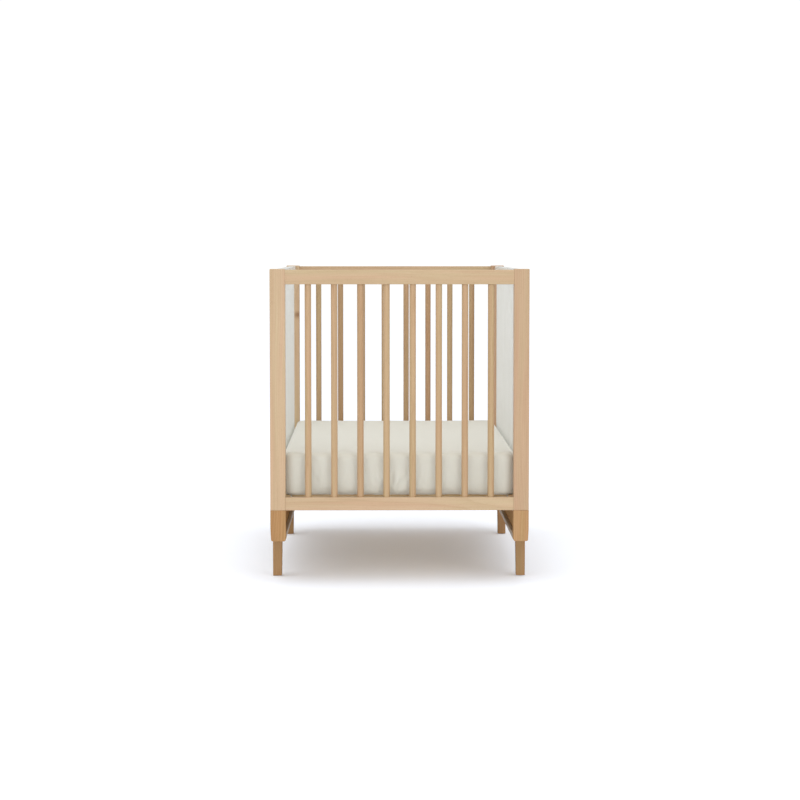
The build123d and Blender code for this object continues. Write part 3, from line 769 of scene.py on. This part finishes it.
class CRIB_OT_mattress(bpy.types.Operator):
    """Make the mattress: a firm pad in ticking, swollen a little over its filling"""
    bl_idname = "crib.mattress"
    bl_label = "Mattress"

    def execute(self, context):
        settings = context.scene.crib_bedding
        low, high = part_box("mattress")
        shrink = Vector((0.004, 0.004, 0.003))
        pad = soft_block("mattress_pad", low + shrink, high - shrink, settings.mattress_step)
        inflate(pad, pressure=4, frames=16, limit=0.003)
        set_coordinates(pad.data, keep_inside(coordinates(pad.data), low, high))
        ticking = {"Cloth": opaque(settings.ticking_colour), "Pitch": 0.0016}
        cover = surface("mattress_ticking", "weave", ticking, bump=0.4, bump_distance=0.0004,
                        shader={"Sheen Weight": 0.15}, facing=True)
        finish_piece(pad, "mattress", cover)
        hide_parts("mattress")
        return {"FINISHED"}


class CRIB_OT_fitted_sheet(bpy.types.Operator):
    """Make the fitted sheet: drawn over the mattress, gathered under it by its elastic"""
    bl_idname = "crib.fitted_sheet"
    bl_label = "Fitted sheet"

    def execute(self, context):
        settings = context.scene.crib_bedding
        pad = bpy.data.objects["mattress_pad"]
        low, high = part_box("fitted_sheet")
        sheet = soft_block("fitted_sheet_cloth", low, high, settings.sheet_step)
        self.open_underside(sheet, low, high)
        self.draw_tight(sheet, pad)
        apply_modifier(sheet, "SUBSURF", levels=1, render_levels=1)
        seam = (high.x - CORNER_RADIUS, high.y - CORNER_RADIUS, 0)
        cotton = {"Cloth": opaque(settings.sheet_colour), "Pitch": settings.thread_pitch, "Seam Corner": seam}
        cloth = surface("cotton_sheet", "weave", cotton, bump=0.25, bump_distance=0.0002,
                        shader={"Sheen Weight": 0.25, "Sheen Roughness": 0.5}, facing=True)
        elastic = self.elastic_edge(sheet)
        finish_piece(elastic, "mattress", cloth)
        finish_piece(sheet, "mattress", cloth)
        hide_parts("fitted_sheet")
        return {"FINISHED"}

    def open_underside(self, sheet, low, high):
        """Cut away the middle of the underside, inside the hem."""
        pick(sheet)
        bpy.ops.object.mode_set(mode="EDIT")
        mesh = bmesh.from_edit_mesh(sheet.data)
        inner = Vector((HEM_WIDTH, HEM_WIDTH, 0))
        inside_low, inside_high = low + inner, high - inner
        gone = [f for f in mesh.faces
                if f.normal.z < -0.9
                and inside_low.x < f.calc_center_median().x < inside_high.x
                and inside_low.y < f.calc_center_median().y < inside_high.y]
        bmesh.ops.delete(mesh, geom=gone, context="FACES")
        bmesh.update_edit_mesh(sheet.data)
        bpy.ops.object.mode_set(mode="OBJECT")

    def draw_tight(self, sheet, pad):
        """Gather the hem with its elastic and let the cloth settle on the mattress."""
        low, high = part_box("fitted_sheet")
        start = coordinates(sheet.data)
        # The group's weight sets how much each point draws in: the hem most, the top not at all; the
        # skirt is slack
        hem = sheet.vertex_groups.new(name="elastic")
        edge_x = abs(low.x) - HEM_WIDTH + ELASTIC_BAND
        edge_y = abs(low.y) - HEM_WIDTH + ELASTIC_BAND
        under = start[:, 2] < low.z + 0.003
        inner = (np.abs(start[:, 0]) < edge_x) & (np.abs(start[:, 1]) < edge_y)
        top = start[:, 2] > high.z - 2 * TOP_RADIUS
        hem.add(np.flatnonzero(top).tolist(), -SKIRT_SLACK / (HEM_GATHER - SKIRT_SLACK), "REPLACE")
        hem.add(np.flatnonzero(under & inner).tolist(), 1.0, "REPLACE")
        pad.modifiers.new("Firm", "COLLISION")
        pad.collision.thickness_outer = 0.001
        modifier = sheet.modifiers.new("Drape", "CLOTH")
        cloth = modifier.settings
        cloth.quality = 6
        cloth.mass = 0.15
        cloth.effector_weights.gravity = 0.6
        cloth.tension_stiffness = 20
        cloth.compression_stiffness = 5
        cloth.shear_stiffness = 6
        cloth.bending_stiffness = 0.05
        cloth.shrink_min = SKIRT_SLACK
        cloth.vertex_group_shrink = hem.name
        cloth.shrink_max = HEM_GATHER
        modifier.collision_settings.distance_min = 0.001
        settle(28)
        end = shaped_coordinates(sheet)
        sheet.modifiers.remove(modifier)
        pad.modifiers.remove(pad.modifiers["Firm"])
        # The skirt may wrinkle most; the top stays flat, and the corners clear the posts
        skirt_top, edge = high.z - 3 * TOP_RADIUS, high.z - TOP_RADIUS
        limit = np.interp(start[:, 2], [skirt_top, edge], [SKIRT_TRAVEL, TOP_TRAVEL])
        from_corner = np.abs(np.abs(start[:, :2]) - (high.x, high.y)).max(axis=1)
        limit *= np.interp(from_corner, [CORNER_RADIUS, 3 * CORNER_RADIUS], [0.15, 1.0])
        places = cap(start, end, limit[:, None])
        room = (0.003, 0.005, 0)
        set_coordinates(sheet.data, keep_inside(places, low - Vector(room), high + Vector(room)))
        apply_modifier(sheet, "SHRINKWRAP", target=pad, wrap_method="NEAREST_SURFACEPOINT",
                       wrap_mode="OUTSIDE", offset=SHEET_GAP)

    def elastic_edge(self, sheet):
        """The round casing that holds the elastic, all along the sheet's open edge."""
        pick(sheet)
        bpy.ops.object.duplicate()
        edge = bpy.context.object
        edge.name = "sheet_elastic"
        bpy.ops.object.mode_set(mode="EDIT")
        select_edges(edge, lambda e: not e.is_boundary)
        bpy.ops.mesh.delete(type="EDGE")
        bpy.ops.object.mode_set(mode="OBJECT")
        bpy.ops.object.convert(target="CURVE")
        edge = bpy.context.object
        edge.data.bevel_depth = ELASTIC_RADIUS
        edge.data.bevel_resolution = 2
        bpy.ops.object.convert(target="MESH")
        edge = bpy.context.object
        edge.location.z += ELASTIC_RADIUS
        apply_place(edge)
        return edge


# Stage

# Each light's name, place, size and share of the key light's power
LIGHTS = (
    ("key_light", (2.7, -5.4, 2.6), 1.8, 1.0),
    ("left_fill", (-4.2, -3.4, 2.8), 3.0, 0.3),
    ("overhead", (0.0, 0.3, 4.6), 3.4, 0.8),
)
AIM = Vector((0, 0, 0.4))
FLOOR_SIZE = 60
FLOOR_COLOUR = (0.865, 0.90, 0.965, 1)
FLOOR_GLOW = 0.12
BACKDROP = 1.05  # how bright the room looks, which doesn't light the crib
WHITE = (1, 1, 1, 1)


class CRIB_OT_stage(bpy.types.Operator):
    """Set the pale floor, the soft lights and the camera"""
    bl_idname = "crib.stage"
    bl_label = "Stage"

    def execute(self, context):
        settings = context.scene.crib_studio
        self.floor()
        self.lights(settings)
        self.room(settings)
        self.camera(settings)
        context.scene.view_settings.view_transform = "Standard"
        context.scene.view_settings.look = "None"
        return {"FINISHED"}

    def floor(self):
        pick_nothing()
        bpy.ops.mesh.primitive_plane_add(size=FLOOR_SIZE, location=(0, 0, 0))
        floor = bpy.context.object
        floor.name = "studio_floor"
        paint = bpy.data.materials.new("pale_floor")
        paint.use_nodes = True
        shader = paint.node_tree.nodes["Principled BSDF"]
        shader.inputs["Base Color"].default_value = FLOOR_COLOUR
        shader.inputs["Emission Color"].default_value = WHITE
        shader.inputs["Emission Strength"].default_value = FLOOR_GLOW
        shader.inputs["Roughness"].default_value = 0.9
        shader.inputs["Specular IOR Level"].default_value = 0.1
        floor.data.materials.append(paint)

    def lights(self, settings):
        for name, place, size, share in LIGHTS:
            self.area_light(name, place, size, settings.key_power * share)

    def area_light(self, name, place, size, power):
        light = bpy.data.lights.new(name, "AREA")
        light.shape = "SQUARE"
        light.size = size
        light.energy = power
        lamp = bpy.data.objects.new(name, light)
        bpy.context.scene.collection.objects.link(lamp)
        lamp.location = place
        lamp.rotation_euler = (AIM - Vector(place)).to_track_quat("-Z", "Y").to_euler()

    def room(self, settings):
        """White to the eye, and an even, gentler light on the crib."""
        world = bpy.data.worlds.new("white_room")
        bpy.context.scene.world = world
        world.use_nodes = True
        tree = world.node_tree
        tree.nodes.clear()
        path = add_node(tree, "ShaderNodeLightPath")
        way = add_node(tree, "ShaderNodeTexCoord").outputs["Generated"]
        lean = add_node(
            tree, "ShaderNodeVectorMath", {0: way, 1: settings.room_lean}, operation="DOT_PRODUCT")
        leaning = maths(tree, "ADD", 1.0, lean.outputs["Value"])
        lit = maths(tree, "MULTIPLY", leaning, settings.room_light)
        strength = add_node(tree, "ShaderNodeMix", {0: path.outputs["Is Camera Ray"], 2: lit, 3: BACKDROP})
        glow = add_node(
            tree, "ShaderNodeBackground", {"Color": WHITE, "Strength": strength.outputs[0]})
        end = add_node(tree, "ShaderNodeOutputWorld")
        tree.links.new(glow.outputs[0], end.inputs["Surface"])

    def camera(self, settings):
        data = bpy.data.cameras.new("camera")
        data.lens = settings.lens
        data.clip_end = 100
        camera = bpy.data.objects.new("camera", data)
        bpy.context.scene.collection.objects.link(camera)
        camera.location = settings.camera_place
        camera.rotation_euler = (math.pi / 2 - settings.camera_pitch, 0, -settings.camera_yaw)
        bpy.context.scene.camera = camera


class CRIB_PT_panel(bpy.types.Panel):
    """Lists the crib's pieces in the sidebar"""
    bl_idname = "CRIB_PT_panel"
    bl_label = "Baby Crib"
    bl_space_type = "VIEW_3D"
    bl_region_type = "UI"
    bl_category = "Crib"

    def draw(self, context):
        for step in STEPS:
            self.layout.operator(step.bl_idname)


STEPS = (
    CRIB_OT_beech_joinery,
    CRIB_OT_white_sides,
    CRIB_OT_fittings,
    CRIB_OT_platform,
    CRIB_OT_mattress,
    CRIB_OT_fitted_sheet,
    CRIB_OT_stage,
)
SETTINGS = {"crib_wood": WoodSettings, "crib_bedding": BeddingSettings, "crib_studio": StudioSettings}


def register():
    for name, kind in SETTINGS.items():
        bpy.utils.register_class(kind)
        setattr(bpy.types.Scene, name, PointerProperty(type=kind))
    for kind in (*STEPS, CRIB_PT_panel):
        bpy.utils.register_class(kind)


def unregister():
    for kind in reversed((*STEPS, CRIB_PT_panel)):
        bpy.utils.unregister_class(kind)
    for name, kind in SETTINGS.items():
        delattr(bpy.types.Scene, name)
        bpy.utils.unregister_class(kind)


def main():
    register()
    for step in STEPS:
        section, action = step.bl_idname.split(".")
        getattr(getattr(bpy.ops, section), action)()
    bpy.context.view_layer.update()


if __name__ == "__main__":
    main()
